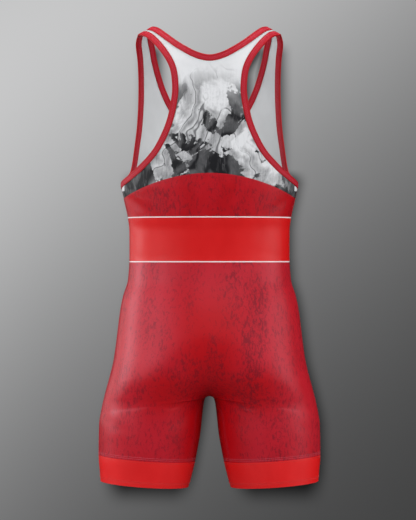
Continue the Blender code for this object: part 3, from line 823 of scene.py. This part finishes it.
def printed_cloth():
    finish = Finish("printed_cloth", 0.46, 0.0, 0.3)
    x, y, z = finish.axes(finish.place())
    down = ((z * -1 - 0.075) / 0.2).math("MINIMUM", 0.6)
    wander = finish.node("ShaderNodeTexNoise", None, {"Vector": finish.place(), "Scale": 7.0, "Detail": 3.0}, 1)
    pushed = finish.node("ShaderNodeVectorMath", {"operation": "MULTIPLY_ADD"}, {
        0: wander, 1: (0.16, 0.16, 0.16), 2: finish.place(scale=(1, 1, 0.75), turn=(0, 0.55, 0)),
    })
    flow = finish.noise(pushed, 8.5, 2, 0.45) * 58
    folds = flow.math("SINE") * 0.5 + 0.5
    lines = 1 - finish.ramp(abs((flow * 0.5 + 0.4).math("SINE")), 0.05, 0.22)
    strokes = finish.noise(finish.place(scale=(1, 1, 0.16), turn=(0, 0.5, 0)), 260, 4, 0.6, 0.5)
    fine = finish.noise(pushed, 75, 5, 0.7)
    washes = finish.ramp(finish.noise(finish.place(move=(1.7, 0, 0.4)), 15, 5, 0.55, 0.6) + down * 0.16, 0.47, 0.58)
    masses = finish.noise(finish.place(move=(4.1, 0, 1.3)), 12, 4, 0.55, 0.8) + down * 0.12
    blots = finish.ramp(masses + (fine - 0.5) * 0.26, 0.565, 0.59)
    reach = finish.ramp(down, -0.1, 0.25)
    shade = washes * (0.3 + folds * 0.45) + lines * (washes * 0.6 + 0.15) + (fine - 0.48) * 1.1 + (strokes - 0.5) * 0.8
    # Painted shade: the print greys towards the crest over the shoulders.
    painted_crest_shade = finish.ramp(z, -0.07, 0.0) * 0.45
    shade = (shade * reach).math("MAXIMUM", painted_crest_shade)
    ground = finish.mix(shade.math("MAXIMUM", 0).math("MINIMUM", 1), PAPER, GREY)
    dark = blots * (1.05 - folds * 0.28 - finish.ramp(strokes, 0.5, 0.7) * 0.2) * finish.ramp(down, 0.05, 0.3)
    aside = abs(x) + (fine - 0.5) * 0.02
    dark = dark.math("MAXIMUM", finish.ramp(aside, 0.128, 0.134) * (0.9 - finish.ramp(strokes, 0.45, 0.6) * 0.3))
    bare = finish.ramp(abs(x), 0.1535, 0.155) * finish.ramp(z, -0.294, -0.2915)
    dark = dark.math("MINIMUM", 1) * (1 - bare)
    finish.set("Base Color", finish.mix(dark, finish.mix(bare, ground, PAPER), BLACK))
    finish.set("Roughness", 0.46 + dark * 0.05)
    finish.knit()
    return finish.material


yoke_cloth = printed_cloth()


# The cut pieces
# Fourteen pieces of cloth 1 mm thick. The print is on the outside only, so the inside is pale, but
# for the leg bands, which are dyed through.
def make_mesh(name, points, polygons, flat, slots, finishes):
    mesh = bpy.data.meshes.new(name)
    mesh.from_pydata([tuple(p) for p in np.array(points) * MM], [], polygons)
    layer = mesh.uv_layers.new(name="cloth")
    layer.data.foreach_set("uv", np.array(flat, dtype=np.float32).ravel())
    mesh.polygons.foreach_set("material_index", slots)
    for finish in finishes:
        mesh.materials.append(finish)
    mesh.shade_smooth()
    mesh.set_sharp_from_angle(angle=radians(50))
    obj = bpy.data.objects.new(name, mesh)
    bpy.context.scene.collection.objects.link(obj)
    return obj


def cut_piece(name, finish, lining):
    """One panel with both its faces and its cut edges, in place of its plain solid."""
    index = PANELS.index(name)
    faces = [face for face in skin.faces if face.material_index == index]
    order = {}
    for face in faces:
        for vert in face.verts:
            order.setdefault(vert.index, len(order))
    ids, count = list(order), len(order)
    out = skin_normals[ids] * CLOTH / 2
    points = np.vstack([skin_points[ids] + out, skin_points[ids] - out])
    polygons, flat, slots = [], [], []
    for face in faces:
        ring = [order[loop.vert.index] for loop in face.loops]
        places = [tuple(loop[cloth_uv].uv) for loop in face.loops]
        polygons += [ring, [i + count for i in reversed(ring)]]
        flat += places + places[::-1]
        slots += [0, 1]
        for k, loop in enumerate(face.loops):
            if sum(other.material_index == index for other in loop.edge.link_faces) == 1:
                a, b = ring[k], ring[(k + 1) % len(ring)]
                here, there = places[k], places[(k + 1) % len(ring)]
                polygons.append([b, a, a + count, b + count])
                flat += [there, here, here, there]
                slots.append(0)
    obj = make_mesh(name + "_cloth", points, polygons, flat, slots, [finish, lining])
    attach(obj, "root")
    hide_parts(name)
    return obj


for name, finish, lining, slot in (
    ("back_yoke", yoke_cloth, inside_cloth, "printed_cloth"),
    ("back_chest", chest_cloth, inside_cloth, "crimson_cloth"),
    ("back_stripe_top", stripe_cloth, inside_cloth, "white_stripe"),
    ("back_waist", waist_cloth, inside_cloth, "red_cloth"),
    ("back_stripe_low", stripe_cloth, inside_cloth, "white_stripe"),
    ("back_seat", lower_cloth, inside_cloth, "crimson_cloth"),
    ("front_yoke", yoke_cloth, inside_cloth, "printed_cloth"),
    ("front_chest", chest_cloth, inside_cloth, "crimson_cloth"),
    ("front_stripe_top", stripe_cloth, inside_cloth, "white_stripe"),
    ("front_waist", waist_cloth, inside_cloth, "red_cloth"),
    ("front_stripe_low", stripe_cloth, inside_cloth, "white_stripe"),
    ("front_lower", lower_cloth, inside_cloth, "crimson_cloth"),
    ("leg_band_right", band_cloth, band_cloth, "red_band"),
    ("leg_band_left", band_cloth, band_cloth, "red_band"),
):
    cut_piece(name, finish, lining)


# Bindings
# Elastic tape folded over the neck and arm edges, 12 mm wide on each face, crimson through, with a
# paler middle and firm darker edges.
TAPE_TURN = 0.0138


def tape_cloth():
    finish = Finish("tape_cloth", 0.5, 0.0, 0.25)
    along_tape, across_tape = finish.cloth_axes()
    ribs = (across_tape * (2 * pi / 0.0011)).math("SINE") * 0.5 + 0.5
    cloudy = finish.noise(finish.place(), 90, 3, 0.6)
    from_middle = abs(abs(across_tape - TAPE_TURN) - TAPE_TURN * 0.55)
    ground = finish.mix(cloudy, (0.38, 0.003, 0.012), (0.45, 0.010, 0.026))
    ground = finish.mix(finish.ramp(from_middle, 0.003, 0.0042) * 0.85, ground, (0.36, 0.001, 0.005))
    finish.set("Base Color", finish.mix(ribs * 0.2, ground, (0.24, 0.003, 0.008)))
    loops = (along_tape * (2 * pi / 0.0008)).math("SINE") * 0.3
    sockets = {"Height": ribs + loops, "Strength": 0.35, "Distance": 0.0002}
    finish.set("Normal", finish.node("ShaderNodeBump", None, sockets))
    return finish.material


binding_cloth = tape_cloth()
NEAR = CLOTH / 2 + TAPE_GAP
FAR = NEAR + TAPE
# Across the tape from its inner line (1) to the cloth's edge (0): place, height over the cloth
TAPE_FACE = (
    (1.0, NEAR + 0.25), (0.985, NEAR + 0.75), (0.94, FAR - 0.02), (0.86, FAR - 0.08), (0.82, FAR - 0.2),
    (0.78, FAR - 0.08), (0.66, FAR + 0.08), (0.5, FAR + 0.12), (0.36, FAR + 0.06), (0.28, FAR - 0.08),
    (0.24, FAR - 0.2), (0.2, FAR - 0.08), (0.08, FAR),
)
FOLD_TURNS = (0, 30, 60, 90, 120, 150, 180)
TAPE_SEWING = (0.66, 0.40)
tape_rows = []


def on_cloth(points):
    """The cloth's folded points and normals where these points of the skin lie."""
    ids = [tree.find(Vector(p))[1] for p in points]
    return skin_points[ids], skin_normals[ids]


def make_tape(name, edge, inner, closed):
    middle = snap((edge + inner) / 2)
    middle[edge[:, 0] == 0, 0] = 0.0
    (e, en), (m, mn), (i, inn) = on_cloth(edge), on_cloth(middle), on_cloth(inner)

    def across(t, a, b, c):
        return a * (1 - t) * (1 - 2 * t) + 4 * b * t * (1 - t) + c * t * (2 * t - 1)

    out = unit(e - m)
    out = unit(out - en * (out * en).sum(axis=1)[:, None])
    for t in TAPE_SEWING:
        for way in (1, -1):
            normal = unit(across(t, en, mn, inn))
            tape_rows.append((across(t, e, m, i) + way * (FAR - 0.1) * normal, way * normal, closed))
    lines = []
    for way, turns in ((1, FOLD_TURNS), (-1, ())):
        face = TAPE_FACE if way > 0 else TAPE_FACE[::-1]
        for t, height in face:
            normal = unit(across(t, en, mn, inn))
            lines.append(across(t, e, m, i) + way * height * normal)
        for degrees in turns:
            angle = radians(degrees)
            lines.append(e + FAR * (cos(angle) * en + sin(angle) * out))
    lines.append(i - NEAR * inn)
    for degrees in (180, 90, 0):
        angle = radians(degrees)
        lines.append(e + NEAR * (cos(angle) * en + sin(angle) * out))
    lines.append(i + NEAR * inn)
    grid = np.array(lines).transpose(1, 0, 2)
    girth = run_length(grid[0]) * MM
    length = run_length(e) * MM
    rows, columns = grid.shape[:2]
    polygons, flat = [], []
    for r in range(rows if closed else rows - 1):
        for c in range(columns):
            corners = ((r, c), (r + 1, c), (r + 1, c + 1), (r, c + 1))
            polygons.append([(a % rows) * columns + b % columns for a, b in corners])
            for a, b in corners:
                far_end = length[-1] + length[1] if a == rows else length[a]
                flat.append((far_end, girth[b] if b < columns else girth[-1] + 0.001))
    return grid.reshape(-1, 3), polygons, flat


def finish_tape(name, points, polygons, flat, mirrored, welded):
    bm = bmesh.new()
    layer = bm.loops.layers.uv.new("cloth")
    signs = (1, -1) if welded else ((-1,) if mirrored else (1,))
    for sign in signs:
        verts = [bm.verts.new((p[0] * sign, p[1], p[2])) for p in points]
        place = iter(flat)
        for polygon in polygons:
            face = bm.faces.new([verts[k] for k in polygon])
            for loop in face.loops:
                loop[layer].uv = next(place)
    bmesh.ops.remove_doubles(bm, verts=bm.verts[:], dist=0.002)
    bmesh.ops.recalc_face_normals(bm, faces=bm.faces[:])
    bmesh.ops.scale(bm, vec=(MM, MM, MM), verts=bm.verts[:])
    mesh = bpy.data.meshes.new(name + "_tape")
    bm.to_mesh(mesh)
    bm.free()
    mesh.materials.append(binding_cloth)
    mesh.shade_smooth()
    mesh.set_sharp_from_angle(angle=radians(60))
    obj = bpy.data.objects.new(name + "_tape", mesh)
    bpy.context.scene.collection.objects.link(obj)
    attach(obj, "root")
    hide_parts(name)
    return obj


arm_tape = make_tape("armhole", arm_edge, arm_inner, True)
neck_tape = make_tape("neck", neck_edge, neck_inner, False)
tapes = [
    finish_tape("armhole_binding_right", *arm_tape, False, False),
    finish_tape("armhole_binding_left", *arm_tape, True, False),
    finish_tape("neck_binding", *neck_tape, False, True),
]

# Sewing
# Three-needle cover stitch holds the leg bands and hems, flat seams join the sides, inseams, shoulders
# and yokes, and two rows run along each binding. Each row is a line on the cloth, and Geometry Nodes
# lay one stitch of soft thread at every pitch along it.
def thread(name, colour, darker):
    finish = Finish(name, 0.6, 0.05, 0.3)
    fibres = finish.noise(finish.place(scale=(1, 1, 1)), 1800, 2, 0.6)
    finish.set("Base Color", finish.mix(finish.ramp(fibres, 0.35, 0.7), darker, colour))
    return finish.material


def stitch_tree():
    group = bpy.data.node_groups.new("row_of_stitches", "GeometryNodeTree")
    group.interface.new_socket("Geometry", in_out="INPUT", socket_type="NodeSocketGeometry")
    for name, value in (("Pitch", 0.003), ("Length", 0.0025), ("Width", 0.0008), ("Height", 0.0005)):
        group.interface.new_socket(name, in_out="INPUT", socket_type="NodeSocketFloat").default_value = value
    group.interface.new_socket("Thread", in_out="INPUT", socket_type="NodeSocketMaterial")
    group.interface.new_socket("Geometry", in_out="OUTPUT", socket_type="NodeSocketGeometry")

    def node(kind, settings=None, links=None):
        made = group.nodes.new(kind)
        for name, value in (settings or {}).items():
            setattr(made, name, value)
        for name, value in (links or {}).items():
            if isinstance(value, bpy.types.NodeSocket):
                group.links.new(value, made.inputs[name])
            else:
                made.inputs[name].default_value = value
        return made

    given = node("NodeGroupInput").outputs
    curve = node("GeometryNodeMeshToCurve", None, {"Mesh": given["Geometry"]})
    spaced = node("GeometryNodeResampleCurve", {"mode": "LENGTH"}, {"Curve": curve.outputs[0], "Length": given["Pitch"]})
    ball = node("GeometryNodeMeshUVSphere", None, {"Segments": 6, "Rings": 4, "Radius": 0.5})
    size = node("ShaderNodeCombineXYZ", None, {"X": given["Length"], "Y": given["Width"], "Z": given["Height"]})
    up = node("GeometryNodeInputNamedAttribute", {"data_type": "FLOAT_VECTOR"}, {"Name": "up"})
    ahead = node("FunctionNodeAlignRotationToVector", {"axis": "X"}, {"Vector": node("GeometryNodeInputTangent").outputs[0]})
    level = node("FunctionNodeAlignRotationToVector", {"axis": "Z", "pivot_axis": "X"}, {
        "Rotation": ahead.outputs[0], "Vector": up.outputs["Attribute"],
    })
    laid = node("GeometryNodeInstanceOnPoints", None, {
        "Points": spaced.outputs[0], "Instance": ball.outputs["Mesh"],
        "Rotation": level.outputs[0], "Scale": size.outputs[0],
    })
    real = node("GeometryNodeRealizeInstances", None, {"Geometry": laid.outputs[0]})
    dyed = node("GeometryNodeSetMaterial", None, {"Geometry": real.outputs[0], "Material": given["Thread"]})
    node("NodeGroupOutput", None, {"Geometry": dyed.outputs[0]})
    return group


stitches = stitch_tree()


def sew(name, rows, sizes, material):
    """Rows of stitches: points in millimetres, the way out of the cloth at each, and whether closed."""
    points, ups, edges = [], [], []
    for line, normals, closed in rows:
        first = len(points)
        points += list(line)
        ups += list(normals)
        edges += [(first + k, first + k + 1) for k in range(len(line) - 1)]
        if closed:
            edges.append((first + len(line) - 1, first))
    mesh = bpy.data.meshes.new(name)
    mesh.from_pydata([tuple(p) for p in np.array(points) * MM], edges, [])
    mesh.attributes.new("up", "FLOAT_VECTOR", "POINT").data.foreach_set("vector", np.array(ups).ravel())
    obj = bpy.data.objects.new(name, mesh)
    bpy.context.scene.collection.objects.link(obj)
    modifier = obj.modifiers.new("sewing", "NODES")
    modifier.node_group = stitches
    for socket in stitches.interface.items_tree:
        if socket.name in sizes:
            modifier[socket.identifier] = sizes[socket.name]
        if socket.name == "Thread":
            modifier[socket.identifier] = material
    laid = obj.evaluated_get(bpy.context.evaluated_depsgraph_get())
    sewn = bpy.data.meshes.new_from_object(laid)
    obj.modifiers.remove(modifier)
    obj.data = sewn
    obj.data.shade_smooth()
    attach(obj, "root")
    return obj


def on_surface(points, lift=0.12):
    """Points of the smooth form moved to the outside of the folded cloth."""
    line, normals = [], []
    for p in points:
        place, normal, *_ = surface.find_nearest(Vector(p))
        line.append(np.array(place + normal * (CLOTH / 2 + lift)))
        normals.append(np.array(normal))
    return np.array(line), np.array(normals)


def leg_ring(side_z, inner_z):
    back, front = (leg_row(side, side_z, inner_z, INSEAM_ANGLE) for side in (-1, 1))
    return np.vstack([back, front[-2:0:-1]])


def both_legs(points, closed):
    """The same row on the right and the left."""
    rows = []
    for sign in (1, -1):
        rows.append((*on_surface(points * (sign, 1, 1)), closed))
    return rows


BAND_ROWS_ABOVE = (6.2, 3.2)
HEM_ROWS_ABOVE = (9.5, 7.0)
SEAM_HALF = 2.4
above_bands, on_bands, seams = [], [], []
for above in BAND_ROWS_ABOVE:
    above_bands += both_legs(leg_ring(BAND_SIDE_Z + above, BAND_INNER_Z + above), True)
on_bands += both_legs(leg_ring(BAND_SIDE_Z - 2.5, BAND_INNER_Z - 2.5), True)
for above in HEM_ROWS_ABOVE:
    on_bands += both_legs(leg_ring(HEM_SIDE_Z + above, HEM_INNER_Z + above), True)
side_heights = np.linspace(UNDERARM_Z - TAPE_WIDTH - 3, BAND_SIDE_Z + 1.5, 200)
for aside in (-SEAM_HALF, SEAM_HALF):
    side_seam = np.stack([read(BODY, 1, side_heights), aside + 0 * side_heights, side_heights], axis=1)
    seams += both_legs(side_seam, False)
for side in (-1, 1):
    inseam = np.array([along(leg_row(side, *leg_values(t)), [SEAM_HALF])[0] for t in steps(72, 4)])
    seams += both_legs(inseam, False)
    arc = arc_row(side)
    under = arc[arc[:, 0] < 150]
    seams += both_legs(under - (0, 0, 1.8), False)
for y in (-2.0, 2.0):
    strap = np.linspace(neck_inner[len(back_lines["neck_edge"]) - 1, 0], arm_inner[len(back_lines["arm_edge"]) - 1, 0], 24)
    seams += both_legs(np.stack([strap, y + 0 * strap, shoulder_line(strap)], axis=1), False)
tape_rows += [(line * (-1, 1, 1), up * (-1, 1, 1), closed) for line, up, closed in tape_rows]
crimson_thread = thread("crimson_thread", (0.50, 0.035, 0.06), (0.36, 0.012, 0.03))
pink_thread = thread("pink_thread", (0.56, 0.10, 0.14), (0.42, 0.05, 0.08))
red_thread = thread("red_thread", (0.68, 0.055, 0.05), (0.55, 0.02, 0.02))
COVER = {"Pitch": 0.0026, "Length": 0.0024, "Width": 0.00085, "Height": 0.0005}
FLAT = {"Pitch": 0.0028, "Length": 0.0026, "Width": 0.0007, "Height": 0.00042}
TAPE_THREAD = {"Pitch": 0.0029, "Length": 0.0023, "Width": 0.0008, "Height": 0.0006}
band_sewing = sew("band_sewing", above_bands, COVER, pink_thread)
hem_sewing = sew("hem_sewing", on_bands, COVER, red_thread)
seam_sewing = sew("seam_sewing", seams, FLAT, crimson_thread)
tape_sewing = sew("tape_sewing", tape_rows, TAPE_THREAD, pink_thread)

# Backdrop, lights and camera
# A pale studio: a round floor well below the garment, which hangs free, and a wall round it. Both
# glow with their own light, and behind the garment the wall's glow has a painted fall-off and a
# painted shadow of the garment.
CAMERA_AWAY = 4.5
CAMERA_HEIGHT = -0.4179
CAMERA_ASIDE = -0.0027
HALF_VIEW = 0.951 / 2
camera_data = bpy.data.cameras.new("camera")
camera_data.sensor_width = 36
camera_data.lens = 18 / (HALF_VIEW / CAMERA_AWAY)
camera_data.clip_end = 100
camera = bpy.data.objects.new("camera", camera_data)
camera.location = (CAMERA_ASIDE, -CAMERA_AWAY, CAMERA_HEIGHT)
camera.rotation_euler = (pi / 2, 0, 0)
bpy.context.scene.collection.objects.link(camera)
bpy.context.scene.camera = camera


# How much larger than at the garment the view is at the wall behind it
SEEN_LARGER = (CAMERA_AWAY + 12) / CAMERA_AWAY


def stage_finish():
    """The wall glows with its own light, painted to fall off downwards and to the right, and the
    garment's soft shadow is painted on it.
    """
    finish = Finish("backdrop", 0.9)
    x, y, z = finish.axes(finish.place())
    aside = (x / 1.394).math("MAXIMUM", -1.1).math("MINIMUM", 1.1)
    up = ((z + 0.418) / 1.743).math("MAXIMUM", -1.1).math("MINIMUM", 1.1)
    # Painted fall-off of light: the wall's glow is lighter at the top left and darker down and to the right.
    bent = aside * (0.16 * up + 0.185 * up * up - 0.138 * aside * up - 0.607 - 0.028 * aside)
    painted_falloff = bent + up * (0.991 - 0.097 * up - 0.125 * up * up) - 1.442
    behind = finish.ramp(y, 6.5, 9.5)
    seen_x, seen_z = x / SEEN_LARGER - 0.002, (z - CAMERA_HEIGHT) / SEEN_LARGER + CAMERA_HEIGHT
    stops = [((row[0] + 840) / 560, row[1] / 250) for row in BODY[:3:-1]]
    stops[-1] = (1.0, stops[-1][1])
    outline = finish.node("ShaderNodeValToRGB", {"stops": stops}, {"Fac": (seen_z + 0.84) / 0.56})

    def shade(away):
        return (1 - finish.ramp(away, -0.030, 0.028)) ** 1.4

    # Painted shadow: the garment's soft shadow on the glowing wall, offset right and down.
    aside = abs(seen_x - 0.0085)
    between_legs = (seen_z + 0.64) * -0.2
    body = shade((aside - outline * 0.25 + 0.0085).math("MAXIMUM", between_legs + 0.0085 - aside))
    straps = shade(abs(seen_x - 0.112) - 0.019).math("MAXIMUM", shade(abs(seen_x + 0.104) - 0.012))
    past_back_strap = seen_x - 0.055 - 0.03 * finish.ramp(seen_z, -0.085, -0.02)
    back_strap = shade(past_back_strap - 0.0136) * finish.ramp(past_back_strap, -0.01, 0.005)
    upper = finish.ramp(seen_z, -0.28, -0.25)
    shadow = body * (1 - upper) + straps.math("MAXIMUM", back_strap * 1.3) * upper
    shadow = shadow * finish.ramp(seen_z, -0.8816, -0.7975) ** 1.4 * (1 - finish.ramp(seen_z, -0.045, -0.015))
    dimmed = (1 - (shadow * 1.1).math("MINIMUM", 0.55)) ** 2.2
    glow = painted_falloff.math("EXPONENT") * dimmed * behind + 0.4 * (1 - behind)
    finish.set("Base Color", (0, 0, 0))
    finish.set("Emission Color", finish.mix(glow, (0, 0, 0), (1, 1.003, 1.01)))
    finish.shader.inputs["Emission Strength"].default_value = 1
    finish.shader.inputs["Specular IOR Level"].default_value = 0
    return finish.material


ROOM = ((0.001, -4.8), (9.5, -4.8), (10.8, -4.6), (11.6, -4.0), (12.0, -2.8), (12.0, 0.6), (12.0, 16.0))
turns = 96
room_points = [
    (radius * cos(2 * pi * k / turns), radius * sin(2 * pi * k / turns), z)
    for radius, z in ROOM for k in range(turns)
]
room_faces = [
    (r * turns + k, r * turns + (k + 1) % turns, (r + 1) * turns + (k + 1) % turns, (r + 1) * turns + k)
    for r in range(len(ROOM) - 1) for k in range(turns)
]
room_mesh = bpy.data.meshes.new("room")
room_mesh.from_pydata(room_points, [], room_faces)
room_mesh.shade_smooth()
room_mesh.materials.append(stage_finish())
room = bpy.data.objects.new("room", room_mesh)
bpy.context.scene.collection.objects.link(room)
room.visible_shadow = False
room.visible_diffuse = False
room.visible_glossy = False

world = bpy.data.worlds.new("studio")
world.use_nodes = True
world.node_tree.nodes["Background"].inputs["Color"].default_value = (0.9, 0.93, 1, 1)
world.node_tree.nodes["Background"].inputs["Strength"].default_value = 0.44
world.cycles_visibility.glossy = False
bpy.context.scene.world = world
bpy.context.scene.view_settings.view_transform = "Standard"

# Light: place, size, power, whether it gleams on the cloth
for name, place, size, power, gleams in (
    ("left_edge", (-2.7, 0.2, 0.1), 1.6, 29, True),
    ("left_rear", (-2.2, 1.9, 0.1), 1.8, 7, True),
    ("left", (-2.3, -2.3, 0.3), 1.8, 30, False),
    ("left_gleam", (-2.3, -1.9, 0.3), 2.0, 15, True),
    ("high_gleam", (0.7, -4.0, 1.5), 1.9, 15, True),
    ("right", (2.3, -2.3, 0.2), 1.8, 19, False),
    ("right_side", (2.6, -0.9, -0.1), 1.6, 22, False),
    ("right_gleam", (2.7, -0.8, 0.1), 2.0, 13, True),
    ("top", (0.0, 0.1, 2.3), 1.5, 68, True),
    ("front", (0.9, 3.6, 0.7), 2.2, 60, False),
):
    light = bpy.data.lights.new(name, "AREA")
    light.size, light.energy = size, power
    lamp = bpy.data.objects.new(name, light)
    lamp.location = place
    aim = Vector((0, 0, CAMERA_HEIGHT)) - Vector(place)
    lamp.rotation_euler = aim.to_track_quat("-Z", "Y").to_euler()
    lamp.visible_camera = False
    lamp.visible_glossy = gleams
    bpy.context.scene.collection.objects.link(lamp)

skin.free()
